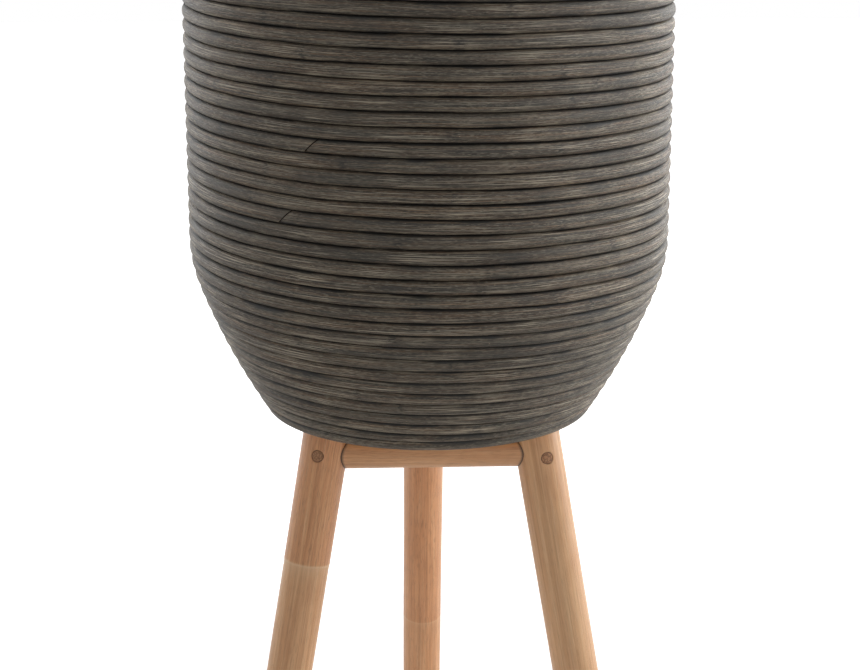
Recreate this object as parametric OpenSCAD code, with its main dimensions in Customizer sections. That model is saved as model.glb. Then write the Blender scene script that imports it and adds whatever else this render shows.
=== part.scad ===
// A round planter of wound rattan poles on a stand of three splayed canes.
// Millimetres. The floor is z = 0, the pot's axis is the z axis and the front faces -y.

/* [Pot] */
// Outside diameter of the pot at its straight wall
pot_d = 390; // [340:1:440]
// Height of the pot from the foot of its lowest hoop to the top of its rim
pot_h = 430; // [360:1:500]
// Height above the pot's foot at which the straight wall starts to curve in
shoulder_h = 147; // [130:1:170]
// Outside radius of the curve that leads out of the straight wall
shoulder_r = 115; // [95:1:150]
// Angle that the shoulder curve turns through
shoulder_turn = 20.4; // [17:0.1:24]
// Outside radius of the long curve between the shoulder and the foot
flank_r = 525; // [440:1:650]

/* [Winding] */
// Diameter of the wound rattan poles
pole_d = 10.6; // [9:0.1:12]
// Smallest gap allowed between one course and the next
course_gap = 0.45; // [0.42:0.01:0.8]
// Direction in which the first strand leaves the base hoop, counted from +x
winding_start = 36.5; // [20:0.5:60]
// Part of a half turn that is shaved off the thin tip of each strand
tip_trim = 0.25; // [0.2:0.01:0.4]
// Angle between a scarf cut and the pole that it ends
scarf_angle = 42; // [35:1:55]
// Width of the open line at a scarf joint
scarf_gap = 0.5; // [0.3:0.05:0.8]

/* [Ribs] */
// Width of the split cane ribs that the courses are pinned to
rib_w = 18; // [12:1:26]
// Thickness of the ribs
rib_t = 4; // [3:0.1:5]
// Gap between the ribs and the courses
rib_clear = 0.3; // [0.2:0.05:0.6]
// Distance of the rib tops below the top of the rim
rib_drop = 12; // [11:0.5:20]

/* [Liner] */
// Wall thickness of the loose inner pot
liner_wall = 2; // [1.5:0.1:3]
// Thickness of its floor
liner_floor = 3; // [2:0.1:5]
// Gap between the inner pot and the ribs
liner_clear = 1.2; // [0.8:0.1:2]
// Outside radius of the edge between its floor and wall
liner_edge_r = 12; // [6:0.5:18]
// Thickness of its lip
lip_t = 3; // [2:0.1:4]
// Gap around the lip and under it
lip_clear = 0.5; // [0.3:0.05:1]

/* [Base] */
// Thickness of the round base board
board_t = 12; // [9:0.5:15]
// Gap between the board's edge and the base hoop
board_clear = 0.3; // [0.2:0.05:0.8]

/* [Stand] */
// Height of the stand from the floor to the pot's foot
stand_h = 335; // [240:1:420]
// Distance of the leg axes inside the base board's edge, at the top of the stand
leg_inset = 29; // [25:0.5:37]
// Angle by which each leg leans outwards
leg_splay = 11; // [6:0.5:14]
// Diameter of the two front legs at the top
front_leg_d = 38.5; // [34:0.5:42]
// Diameter of the rear leg at the top
rear_leg_d = 36.5; // [34:0.5:42]
// Diameter that a leg loses between its top and its foot
leg_taper = 1.8; // [0:0.1:5]
// How far the cane's node rings stand out
node_ridge = 0.5; // [0.2:0.1:1]
// Half the width of a node ring
node_w = 3; // [2:0.5:5]

/* [Rails] */
// Diameter of the three rails
rail_d = 28.5; // [24:0.5:32]
// Depth of the rail axes below the pot's foot
rail_drop = 27; // [25:0.5:40]
// Distance of the rail axes inside the leg axes
rail_inset = 0; // [-2:0.25:5]
// Gap in the coped joints of the rails
rail_seat = 0.1; // [0.05:0.05:0.3]

/* [Fasteners] */
// Diameter of the screws that hold the rails
rail_screw_d = 3.5; // [3:0.1:3.8]
// Length of these screws, with their heads
rail_screw_l = 60; // [50:1:70]
// Diameter of their heads
rail_head_d = 7.5; // [6.5:0.1:8.5]
// Height of their heads
rail_head_h = 2.5; // [2:0.1:3.5]
// Distance of these screws inside the rail axes
screw_inset = 4.5; // [2:0.25:6]
// Height of each of these screws above or below the rail axis
screw_shift = 2.1; // [2.05:0.05:2.5]
// Diameter of the round plugs over these screws
plug_d = 10; // [9.5:0.1:11]
// Length of the plugs
plug_l = 7; // [5:0.5:8]
// Diameter of the screws through the base board
base_screw_d = 4.5; // [4:0.1:5]
// Length of these screws
base_screw_l = 30; // [26:1:32]
// Diameter of their countersunk heads
base_head_d = 9; // [8:0.1:10]
// Gap around a screw or plug in its hole
hole_gap = 0.05; // [0.02:0.01:0.1]

/* [Hidden] */
$fn = 64;

// Where one pole of a strand ends and the next begins, as shares of the strand's turns
scarfs_a = [0.195, 0.392, 0.5862, 0.646, 0.725, 0.869];
scarfs_b = [0.123, 0.28, 0.459, 0.633, 0.785];
poles_a = len(scarfs_a) + 1;
poles_b = len(scarfs_b) + 1;

// Ribs, legs and rails around the axis
rib_count = 6;
leg_az = [210, 330, 90];
leg_d = [front_leg_d, front_leg_d, rear_leg_d];
// Heights of the node rings on the legs, as shares of the stand's height
leg_nodes = [0.648, 0.18, 0.24];

// Middle line of the wall: a long arc, a short arc and a straight, as seen from the side
pole_r = pole_d / 2;
wall_r = pot_d / 2 - pole_r;
shoulder_c = [wall_r - shoulder_r + pole_r, shoulder_h];
shoulder_mid = shoulder_r - pole_r;
flank_mid = flank_r - pole_r;
function ray(a) = [cos(a), -sin(a)];
flank_c = shoulder_c + (shoulder_mid - flank_mid) * ray(shoulder_turn);
foot_turn = asin((flank_c.y - pole_r) / flank_mid);

flank_l = flank_mid * (foot_turn - shoulder_turn) * PI / 180;
shoulder_l = shoulder_mid * shoulder_turn * PI / 180;
wall_l = pot_h - pole_r - shoulder_h;
line_l = flank_l + shoulder_l + wall_l;

// How far the wall leans at a length s along the middle line, and the point there
function lean(s) =
  s < flank_l ? foot_turn - s / flank_mid * 180 / PI :
  s < flank_l + shoulder_l ? (flank_l + shoulder_l - s) / shoulder_mid * 180 / PI : 0;
function place(s) =
  s < flank_l ? flank_c + flank_mid * ray(lean(s)) :
  s < flank_l + shoulder_l ? shoulder_c + shoulder_mid * ray(lean(s)) :
  [wall_r, shoulder_h + s - flank_l - shoulder_l];

// Two strands climb side by side, one course for each half turn
courses = floor(line_l / (pole_d + course_gap));
pitch = line_l / courses;
function turn_share(t) = (1 - cos(180 * (t - floor(t)))) / 2;
function along(t) =
  let (j = floor(t), g = turn_share(t)) place(j * pitch) * (1 - g) + place((j + 1) * pitch) * g;

// The smallest gap between neighbouring courses, measured on points twelve to the half turn
gaps = [for (i = [0:12 * (courses - 1)]) norm(along(i / 12 + 1) - along(i / 12)) - pole_d];
echo(courses = courses, pitch = pitch, least_gap = min(gaps));

// Scarf joints, kept clear of the places where two half turns meet
function clear_of_ends(t) = floor(t) + min(max(t - floor(t), 0.06), 0.94);
function scarfs(strand) = strand == 0 ? scarfs_a : scarfs_b;
function scarf_turn(strand, k) = clear_of_ends(scarfs(strand)[k] * courses);
scarf_h = 0.62 * pole_d;
scarf_run = scarf_h / tan(scarf_angle);
scarf_open = scarf_gap / 2 / sin(scarf_angle);
function stub(t) = 1.2 * pole_d / (along(t).x * PI);

// Short core that joins two half turns, and the hairline that is left around it
core_l = 0.55 * pole_d;
core_d = 0.99 * pole_d;
hairline = 0.02 * pole_d;

// Parts of the pot that stand inside the winding
rib_in = pole_r + rib_clear;
liner_in = rib_in + rib_t + liner_clear;
rib_top = pot_h - rib_drop;
lip_top = rib_top + lip_clear + lip_t;
board_r = place(0).x - pole_r - board_clear;
rib_arc = 30;

// Stand, whose legs are made too long and then cut level
leg_top_r = board_r - leg_inset;
leg_l = stand_h / cos(leg_splay);
spare_l = 0.4 * front_leg_d;
rail_z = stand_h - rail_drop;
leg_rail_r = leg_top_r + rail_drop * tan(leg_splay);
rail_mid = leg_rail_r / 2 - rail_inset;
half_span = leg_rail_r * cos(30);

// How far a cut runs past the piece that it cuts, and a size beyond the whole stand
over = 0.1 * pole_d;
far = pot_d;

pole_colours = ["#5a544b", "#625b51", "#534e46", "#5f584f", "#57524a", "#665f55", "#5c564d"];
cane_colour = "#a9815f";
steel_colour = "#b8bcc0";

// Half a turn of pole: even ones run from +x to -x by the front, odd ones back again
module half_turn(j, from, to) {
  low = place(j * pitch);
  high = place((j + 1) * pitch);
  run = low.x + high.x;
  rise = high.y - low.y;
  turn_r = sqrt(run * run + rise * rise) / 2;
  side = j % 2 == 0 ? 1 : -1;
  hair = hairline / (turn_r * PI);
  first = max(from - j, hair);
  last = min(to - j, 1 - hair);
  translate([side * (low.x - high.x) / 2, 0, (low.y + high.y) / 2])
    rotate([0, side * atan(rise / run), 0])
      rotate([0, 0, 90 - 90 * side - 180 * last])
        rotate_extrude(angle = 180 * (last - first))
          translate([turn_r, 0]) circle(r = pole_r);
}

module core(j) {
  side = j % 2 == 0 ? 1 : -1;
  translate([side * place(j * pitch).x, -core_l / 2, place(j * pitch).y])
    rotate([-90, 0, 0]) cylinder(h = core_l, d = core_d);
}

module winding(from, to) {
  for (j = [floor(from):ceil(to) - 1]) half_turn(j, from, to);
  for (j = [floor(from) + 1:ceil(to) - 1]) core(j);
}

// Puts a block cut to a slanted line across a pole, with x outwards and z up the wall
module across(az, r, z, tilt) {
  rotate([0, 0, az]) translate([r, 0, z]) rotate([0, tilt, 0])
    rotate([90, 0, 90]) linear_extrude(height = 2 * pole_d, center = true) children();
}

module scarf_waste(t, side) {
  across(-180 * t, along(t).x, along(t).y, lean(t * pitch))
    polygon([
      [-side * scarf_open - scarf_run, -scarf_h],
      [-side * scarf_open + scarf_run, scarf_h],
      [side * 2 * pole_d, scarf_h],
      [side * 2 * pole_d, -scarf_h]]);
}

// What the base hoop and the rim take from the first and last half turns
module shaved_off(s, way) {
  out = 2 * pole_d * ray(lean(s));
  rotate_extrude() polygon([
    place(s) - out / 2,
    place(s) + out / 2,
    place(s) + out / 2 + [0, way * 2 * pole_d],
    place(s) - out / 2 + [0, way * 2 * pole_d]]);
}

module pole(strand, k) {
  last = len(scarfs(strand));
  start = k == 0 ? tip_trim : scarf_turn(strand, k - 1);
  end = k == last ? courses - tip_trim : scarf_turn(strand, k);
  color(pole_colours[(k + 3 * strand) % len(pole_colours)])
    translate([0, 0, stand_h]) rotate([0, 0, winding_start + 180 * strand])
      difference() {
        winding(k == 0 ? start : start - stub(start), k == last ? end : end + stub(end));
        if (k > 0) scarf_waste(start, 1);
        if (k < last) scarf_waste(end, -1);
        if (k == 0) shaved_off(pitch / 2, -1);
        if (k == last) shaved_off(line_l - pitch / 2, 1);
      }
}

// A hoop bent from one pole, with its ends scarfed together
module hoop(s, az) {
  translate([0, 0, stand_h]) difference() {
    rotate_extrude() translate(place(s)) circle(r = pole_r);
    across(az, place(s).x, place(s).y, lean(s))
      polygon([
        [-scarf_open - scarf_run, -scarf_h],
        [-scarf_open + scarf_run, scarf_h],
        [scarf_open + scarf_run, scarf_h],
        [scarf_open - scarf_run, -scarf_h]]);
  }
}

module base_hoop() {
  color(pole_colours[2]) hoop(0, 75);
}

module rim_hoop() {
  color(pole_colours[5]) hoop(line_l, 120);
}

// Outline from the axis to a line that lies inset inside the wall's middle line
function arc(c, r, from, to, steps) =
  [for (i = [0:steps]) c + r * ray(from + (to - from) * i / steps)];
function inside(inset, floor_z, edge_r, top) =
  let (
    turn = asin((flank_c.y - floor_z) / (flank_mid - inset)),
    toe = flank_c + (flank_mid - inset) * ray(turn),
    tangent = edge_r * tan(45 - turn / 2),
    edge_turn = turn - tangent / flank_mid * 180 / PI,
    edge_c = toe + [-tangent, edge_r])
  concat(
    [[0, floor_z]],
    edge_r > 0 ? arc(edge_c, edge_r, 90, edge_turn, 6) : [],
    arc(flank_c, flank_mid - inset, edge_r > 0 ? edge_turn - 0.5 : turn, shoulder_turn, 8),
    arc(shoulder_c, shoulder_mid - inset, shoulder_turn * 0.8, 0, 4),
    [[wall_r - inset, top], [0, top]]);

// One split cane rib of constant width, bent to the inside of the winding
module rib(k) {
  color("#6e665b") translate([0, 0, stand_h]) rotate([0, 0, 360 / rib_count * k])
    intersection() {
      rotate([0, 0, -rib_arc / 2]) rotate_extrude(angle = rib_arc) difference() {
        polygon(inside(rib_in, board_t, 0, rib_top));
        polygon(inside(rib_in + rib_t, board_t - over, 0, rib_top + over));
      }
      translate([0, -rib_w / 2, 0]) cube([pot_d, rib_w, pot_h]);
    }
}

// Loose waterproof pot with a lip that covers the rib tops
module liner() {
  lip_r = wall_r - pole_r - lip_clear;
  color("#33322f") translate([0, 0, stand_h]) rotate_extrude() difference() {
    union() {
      polygon(inside(liner_in, board_t, liner_edge_r, lip_top));
      translate([0, lip_top - lip_t]) square([lip_r, lip_t]);
    }
    polygon(inside(liner_in + liner_wall, board_t + liner_floor,
      liner_edge_r - liner_wall, lip_top + over));
  }
}

module base_screw_places() {
  for (az = leg_az) rotate([0, 0, az]) translate([leg_top_r, 0, stand_h + board_t]) children();
}

// A countersunk screw hanging from its head's face, let into the board by a little
module base_screw(gap) {
  sink = 0.3;
  head_h = (base_head_d - base_screw_d) / 2;
  translate([0, 0, -base_screw_l - gap])
    cylinder(h = base_screw_l + gap - sink, d = base_screw_d + 2 * gap);
  translate([0, 0, -sink - head_h])
    cylinder(h = head_h, d1 = base_screw_d + 2 * gap, d2 = base_head_d + 2 * gap);
  if (gap > 0) translate([0, 0, -sink]) cylinder(h = sink + over, d = base_head_d + 2 * gap);
}

module base_board() {
  color("#b08d62") difference() {
    translate([0, 0, stand_h]) cylinder(h = board_t, r = board_r);
    base_screw_places() base_screw(hole_gap);
  }
}

module base_screws() {
  color(steel_colour) base_screw_places() base_screw(0);
}

// The turned form of one leg before it is cut level, grown on request
module leg_form(i, grow) {
  top_r = leg_d[i] / 2 + grow;
  foot_r = top_r - leg_taper / 2;
  ring = (leg_nodes[i] - 1) * leg_l;
  ring_r = top_r + (foot_r - top_r) * -ring / leg_l;
  rotate([0, 0, leg_az[i]]) translate([leg_top_r, 0, stand_h]) rotate([0, -leg_splay, 0])
    rotate_extrude() polygon([
      [0, spare_l],
      [top_r, spare_l],
      [top_r, 0],
      [ring_r, ring + node_w],
      [ring_r + node_ridge, ring],
      [ring_r, ring - node_w],
      [foot_r, -leg_l],
      [foot_r, -leg_l - spare_l],
      [0, -leg_l - spare_l]]);
}

module leg(i) {
  color(cane_colour) difference() {
    intersection() {
      leg_form(i, 0);
      translate([-far, -far, 0]) cube([2 * far, 2 * far, stand_h]);
    }
    rail_screw_at(i, -1) rail_screw_hole(i);
    rail_screw_at((i + 2) % 3, 1) rail_screw_hole(i);
    base_screw_places() base_screw(hole_gap);
  }
}

// Rail i runs from leg i, at its -x end, to the next leg, at its +x end
module rail_place(i) {
  rotate([0, 0, 120 * i]) translate([0, -rail_mid, rail_z]) children();
}

// The screws at one leg pass over each other, so one sits high and one low
module rail_screw_at(i, end) {
  rail_place(i) translate([end * half_span, screw_inset, end * screw_shift])
    rotate([0, end * 90, 0]) children();
}

function head_at(leg) = leg_d[leg] / 2 - plug_l - rail_head_h;

module rail_screw(leg) {
  translate([0, 0, head_at(leg)]) cylinder(h = rail_head_h, d = rail_head_d);
  translate([0, 0, head_at(leg) + rail_head_h - rail_screw_l])
    cylinder(h = rail_screw_l - rail_head_h, d = rail_screw_d);
}

module rail_screw_hole(leg) {
  translate([0, 0, head_at(leg) + rail_head_h - rail_screw_l - over])
    cylinder(h = rail_screw_l, d = rail_screw_d + 2 * hole_gap);
  translate([0, 0, head_at(leg)]) cylinder(h = leg_d[leg], d = plug_d);
}

module rail_plug(leg) {
  translate([0, 0, head_at(leg) + rail_head_h]) cylinder(h = leg_d[leg], d = plug_d - 2 * hole_gap);
}

module rail(i) {
  color(cane_colour) difference() {
    intersection() {
      rail_place(i) translate([-half_span, 0, 0])
        rotate([0, 90, 0]) cylinder(h = 2 * half_span, d = rail_d);
      rotate([0, 0, 120 * i]) translate([0, -rail_seat, rail_z - rail_d])
        linear_extrude(height = 2 * rail_d)
          polygon([[0, 0], [-far, -far * tan(30)], [far, -far * tan(30)]]);
    }
    leg_form(i, rail_seat);
    leg_form((i + 1) % 3, rail_seat);
    rail_screw_at(i, -1) rail_screw_hole(i);
    rail_screw_at(i, 1) rail_screw_hole((i + 1) % 3);
  }
}

module rail_screws() {
  color(steel_colour) for (i = [0:2]) {
    rail_screw_at(i, -1) rail_screw(i);
    rail_screw_at(i, 1) rail_screw((i + 1) % 3);
  }
}

module rail_plugs() {
  color("#8f6a48") for (i = [0:2]) {
    intersection() {
      leg_form(i, 0);
      rail_screw_at(i, -1) rail_plug(i);
    }
    intersection() {
      leg_form((i + 1) % 3, 0);
      rail_screw_at(i, 1) rail_plug((i + 1) % 3);
    }
  }
}

leg(0);  // leg_left
leg(1);  // leg_right
leg(2);  // leg_rear
rail(0);  // rail_front
rail(1);  // rail_right
rail(2);  // rail_left
rail_screws();
rail_plugs();
base_board();
base_screws();
base_hoop();
rim_hoop();
for (k = [1:poles_a]) pole(0, k - 1);
for (k = [1:poles_b]) pole(1, k - 1);
for (k = [1:rib_count]) rib(k);
liner();
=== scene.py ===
# A standing rattan planter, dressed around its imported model
import math
from functools import partial

import bmesh
import bpy
from mathutils import Matrix, Vector
from mathutils.bvhtree import BVHTree


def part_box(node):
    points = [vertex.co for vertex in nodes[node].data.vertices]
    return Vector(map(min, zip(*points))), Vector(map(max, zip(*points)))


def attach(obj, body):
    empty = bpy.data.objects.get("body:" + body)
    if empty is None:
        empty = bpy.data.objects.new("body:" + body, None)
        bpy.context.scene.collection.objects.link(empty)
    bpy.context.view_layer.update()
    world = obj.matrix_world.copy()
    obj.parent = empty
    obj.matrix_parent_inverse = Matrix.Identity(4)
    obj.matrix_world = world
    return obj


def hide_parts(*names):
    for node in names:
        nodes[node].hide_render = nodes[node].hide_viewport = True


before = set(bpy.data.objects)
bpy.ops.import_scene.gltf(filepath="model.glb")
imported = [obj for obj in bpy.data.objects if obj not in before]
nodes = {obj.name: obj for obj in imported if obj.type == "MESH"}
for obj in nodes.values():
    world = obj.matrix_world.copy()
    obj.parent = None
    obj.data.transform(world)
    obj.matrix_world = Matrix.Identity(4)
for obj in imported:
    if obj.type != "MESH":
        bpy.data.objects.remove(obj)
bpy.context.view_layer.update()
mm = 0.001


def linear(hexColour):  # sRGB hex to linear, with alpha
    parts = [int(hexColour[i:i + 2], 16) / 255 for i in (1, 3, 5)]
    return [p / 12.92 if p <= 0.04045 else ((p + 0.055) / 1.055) ** 2.4 for p in parts] + [1]


def feed(node, inputs):  # sets a node's inputs, or links them to nodes and sockets
    for key, value in inputs.items():
        if isinstance(value, bpy.types.Node):
            value = next(output for output in value.outputs if output.enabled)
        if isinstance(value, bpy.types.NodeSocket):
            node.id_data.links.new(value, node.inputs[key])
        else:
            node.inputs[key].default_value = value


def addNode(tree, kind, inputs=None, stops=(), **settings):
    node = tree.nodes.new(kind if "Node" in kind else "ShaderNode" + kind)
    for name, value in settings.items():
        setattr(node, name, value)
    feed(node, inputs or {})
    for i, (place, colour) in enumerate(stops):
        ramp = node.color_ramp.elements
        stop = ramp[i] if i < 2 else ramp.new(place)
        stop.position, stop.color = place, linear(colour)
    return node


def addObject(name, data):
    made = bpy.data.objects.new(name, data)
    bpy.context.scene.collection.objects.link(made)
    return made


# The pot's wall line, as in the model: a long arc, a short arc and a straight
wall = {
    "footZ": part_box("base_board")[0].z,
    "width": 2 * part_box("rim_hoop")[1].x,
    "height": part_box("rim_hoop")[1].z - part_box("base_board")[0].z,
    "shoulderHeight": 147 * mm,
    "shoulderRadius": 115 * mm,
    "shoulderTurn": math.radians(20.4),
    "flankRadius": 525 * mm,
    "poleWidth": 10.6 * mm,
    "courses": 39,
    "guideStep": 2 * mm,
}


def wallArcs():
    half = wall["poleWidth"] / 2
    shoulder, flank = wall["shoulderRadius"] - half, wall["flankRadius"] - half
    turn = wall["shoulderTurn"]
    middle = Vector((wall["width"] / 2 - half - shoulder, wall["shoulderHeight"]))
    far = middle + (shoulder - flank) * Vector((math.cos(turn), -math.sin(turn)))
    footTurn = math.asin((far.y - half) / flank)
    return shoulder, flank, middle, far, footTurn, flank * (footTurn - turn), shoulder * turn


def wallPlace(s):  # radius and height of the wall line at a length s along it
    shoulder, flank, middle, far, footTurn, flankLength, shoulderLength = wallArcs()
    if s < flankLength:
        turn = footTurn - s / flank
        return far + flank * Vector((math.cos(turn), -math.sin(turn)))
    if s < flankLength + shoulderLength:
        turn = (flankLength + shoulderLength - s) / shoulder
        return middle + shoulder * Vector((math.cos(turn), -math.sin(turn)))
    return Vector((middle.x + shoulder, middle.y + s - flankLength - shoulderLength))


def wallLength():
    *_, flankLength, shoulderLength = wallArcs()
    return flankLength + shoulderLength + wall["height"] - wall["poleWidth"] / 2 - wall["shoulderHeight"]


def makeWallLine():  # a guide curve for the Geometry Nodes trees
    length = wallLength()
    count = math.ceil(length / wall["guideStep"])
    curve = bpy.data.curves.new("wallLine", "CURVE")
    curve.dimensions = "3D"
    spline = curve.splines.new("POLY")
    spline.points.add(count)
    for i in range(count + 1):
        place = wallPlace(length * i / count)
        spline.points[i].co = (place.x, 0, place.y + wall["footZ"], 1)
    return addObject("wallLine", curve)


# Geometry Nodes
def newTree(name, inputs):  # a tree, its node maker and its given inputs
    tree = bpy.data.node_groups.new(name, "GeometryNodeTree")
    for title, kind in inputs.items():
        tree.interface.new_socket(name=title, in_out="INPUT", socket_type="NodeSocket" + kind)
    tree.interface.new_socket(name="Geometry", in_out="OUTPUT", socket_type="NodeSocketGeometry")
    group = tree.nodes.new("NodeGroupInput")
    return tree, partial(addNode, tree), {title: group.outputs[title] for title in inputs}


def captured(add, geometry, fields):  # freezes fields on a geometry, and returns it and them
    node = add("GeometryNodeCaptureAttribute")
    for name, (kind, _) in fields.items():
        node.capture_items.new(kind, name)
    feed(node, {0: geometry} | {i + 1: source for i, (_, source) in enumerate(fields.values())})
    return node.outputs[0], {name: node.outputs[i + 1] for i, name in enumerate(fields)}


def endTree(add, geometry, material):  # smooth, real faces in their material
    smooth = add("GeometryNodeSetShadeSmooth", {"Geometry": geometry})
    real = add("GeometryNodeRealizeInstances", {"Geometry": smooth})
    dressed = add("GeometryNodeSetMaterial", {"Geometry": real, "Material": material})
    add("NodeGroupOutput", {"Geometry": dressed})


def runTree(name, tree, values):  # runs a tree on an empty carrier and keeps the result as its mesh
    carrier = addObject(name, bpy.data.meshes.new(name + "Start"))
    modifier = carrier.modifiers.new(tree.name, "NODES")
    modifier.node_group = tree
    for item in tree.interface.items_tree:
        if item.in_out == "INPUT":
            modifier[item.identifier] = values[item.name]
    settle(carrier)
    carrier.data.name = name
    carrier.data.set_sharp_from_angle(angle=winding["sharpAngle"])
    return carrier


def settle(piece):  # applies a piece's modifiers
    graph = bpy.context.evaluated_depsgraph_get()
    made = bpy.data.meshes.new_from_object(piece.evaluated_get(graph), depsgraph=graph)
    piece.modifiers.clear()
    piece.data = made


# The two strands of pole that climb the wall side by side, one course for each half turn.
# A noise is given by its spread around the pot and its rise up the wall, and the room of a cane
# node by where in its spacing it begins and how far on it reaches.
winding = {
    "startAngle": math.radians(36.5),
    "tipTrim": 0.05,
    "joints": {
        "a": [0.195, 0.392, 0.5862, 0.646, 0.725, 0.869],
        "b": [0.123, 0.28, 0.459, 0.633, 0.785],
    },
    "ringSpacing": 3.5 * mm,
    "sides": 20,
    "flatness": 0.94,
    "courseGap": 0.05 * mm,
    "depth": 10.6 * mm,
    "sway": 1.6 * mm,
    "swayNoise": (1.7, 16.0),
    "widthChange": 1.9 * mm,
    "widthNoise": (1.3, 95.0),
    "calmLength": 30 * mm,
    "inAndOut": 3.4 * mm,
    "outermost": 0.64,
    "wanderScale": 5.0,
    "scarfAngle": math.radians(42),
    "scarfGap": 0.9 * mm,
    "scarfReach": 14 * mm,
    "nodeSpacing": 0.31,
    "nodeRoom": (0.2, 0.6),
    "nodeSwell": 0.3 * mm,
    "nodeLength": 4 * mm,
    "nodeShift": 7.31,
    "grainShift": 3.7,
    "sharpAngle": math.radians(50),
    "hoopJoints": {"base_hoop": math.radians(75), "rim_hoop": math.radians(120)},
}


def makePoleTree():  # one pole swept along the wall line, from one half turn to another
    numbers = (
        "From", "To", "Pitch", "First length", "Start angle", "Half depth", "Course height", "Course gap",
        "Flatness", "Lowest length", "Highest length", "Cut start", "Cut end", "Sway", "Width change",
        "In and out", "Node spacing", "Node swell", "Seed",
    )
    tree, add, given = newTree("windPole", {
        "Wall line": "Object", "Bark": "Material", "Rings": "Int", "Sides": "Int",
    } | dict.fromkeys(numbers, "Float"))

    # The path starts as an upright line whose height is counted in half turns
    ends = [add("CombineXYZ", {"Z": given[name]}) for name in ("From", "To")]
    line = add("GeometryNodeCurvePrimitiveLine", {"Start": ends[0], "End": ends[1]})
    path = add("GeometryNodeResampleCurve", {"Curve": line, "Count": given["Rings"]})
    turns = add("SeparateXYZ", {0: add("GeometryNodeInputPosition")}).outputs["Z"]
    length = add("Math", {0: turns, 1: given["Pitch"], 2: given["First length"]}, operation="MULTIPLY_ADD")
    angle = add("Math", {0: turns, 1: -math.pi, 2: given["Start angle"]}, operation="MULTIPLY_ADD")
    cosine = add("Math", {0: angle}, operation="COSINE")
    sine = add("Math", {0: angle}, operation="SINE")
    around = add("CombineXYZ", {"X": cosine, "Y": sine})

    # The lines between courses wander by a noise in direction and length, alike for both neighbours
    edges = []
    for share in (-0.5, 0.5):
        edge = add("Math", {0: given["Course height"], 1: share, 2: length}, operation="MULTIPLY_ADD")
        moved = edge
        for name, amount in (("swayNoise", "Sway"), ("widthNoise", "Width change")):
            spread, rise = winding[name]
            turned = add("VectorMath", {0: around, "Scale": spread}, operation="SCALE")
            lifted = add("Math", {0: edge, 1: rise}, operation="MULTIPLY")
            risen = add("CombineXYZ", {"Z": lifted})
            at = add("VectorMath", {0: turned, 1: risen}, operation="ADD")
            noise = add("TexNoise", {"Vector": at, "Scale": 1.0, "Detail": 1.0})
            shift = add("Math", {0: noise, 1: 0.5}, operation="SUBTRACT")
            for room, sign in (("Lowest length", 1.0), ("Highest length", -1.0)):
                off = add("Math", {0: edge, 1: given[room]}, operation="SUBTRACT")
                clear = add("Math", {0: off, 1: sign}, operation="MULTIPLY")
                fade = add("MapRange", {0: clear, 2: winding["calmLength"]})
                shift = add("Math", {0: shift, 1: fade}, operation="MULTIPLY")
            moved = add("Math", {0: shift, 1: given[amount], 2: moved}, operation="MULTIPLY_ADD")
        limit, room = ("MAXIMUM", "Lowest length") if share < 0 else ("MINIMUM", "Highest length")
        edges.append(add("Math", {0: moved, 1: given[room]}, operation=limit))
    bothEdges = add("Math", {0: edges[0], 1: edges[1]}, operation="ADD")
    swayed = add("Math", {0: bothEdges, 1: 0.5}, operation="MULTIPLY")
    span = add("Math", {0: edges[1], 1: edges[0]}, operation="SUBTRACT")
    openSpan = add("Math", {0: span, 1: given["Course gap"]}, operation="SUBTRACT")
    halfHeight = add("Math", {0: openSpan, 1: 0.5}, operation="MULTIPLY")

    wallLine = add("GeometryNodeObjectInfo", {"Object": given["Wall line"]})
    sample = add("GeometryNodeSampleCurve", {"Curves": wallLine.outputs["Geometry"], "Length": swayed},
                 mode="LENGTH")
    spot = add("SeparateXYZ", {0: sample.outputs["Position"]})
    rise = add("SeparateXYZ", {0: sample.outputs["Tangent"]})
    reach = add("VectorMath", {0: around, "Scale": spot.outputs["X"]}, operation="SCALE")
    lift = add("CombineXYZ", {"Z": spot.outputs["Z"]})
    centre = add("VectorMath", {0: reach, 1: lift}, operation="ADD")

    # Up the wall, along the pole and out of the wall
    leanOut = add("VectorMath", {0: around, "Scale": rise.outputs["X"]}, operation="SCALE")
    leanUp = add("CombineXYZ", {"Z": rise.outputs["Z"]})
    up = add("VectorMath", {0: leanOut, 1: leanUp}, operation="ADD")
    backwards = add("Math", {0: cosine, 1: -1.0}, operation="MULTIPLY")
    forward = add("CombineXYZ", {"X": sine, "Y": backwards})
    out = add("VectorMath", {0: forward, 1: up}, operation="CROSS_PRODUCT")

    bare, at = captured(add, path, {
        "centre": ("VECTOR", centre), "up": ("VECTOR", up), "out": ("VECTOR", out),
        "forward": ("VECTOR", forward), "halfHeight": ("FLOAT", halfHeight),
    })
    bent = add("GeometryNodeSetPosition", {"Geometry": bare, "Position": at["centre"]})
    bent, on = captured(add, bent, {
        "along": ("FLOAT", add("GeometryNodeSplineParameter").outputs["Length"]),
        "total": ("FLOAT", add("GeometryNodeSplineLength").outputs["Length"]),
    })

    # The section is a circle whose points know their angle
    section = add("GeometryNodeCurvePrimitiveCircle",
                  {"Resolution": given["Sides"], "Radius": given["Half depth"]}, mode="RADIUS")
    point = add("SeparateXYZ", {0: add("GeometryNodeInputPosition")})
    pointAngle = add("Math", {0: point.outputs["Y"], 1: point.outputs["X"]}, operation="ARCTAN2")
    marked, side = captured(add, section, {"angle": ("FLOAT", pointAngle)})
    tube = add("GeometryNodeCurveToMesh", {"Curve": bent, "Profile Curve": marked, "Fill Caps": True})

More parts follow.
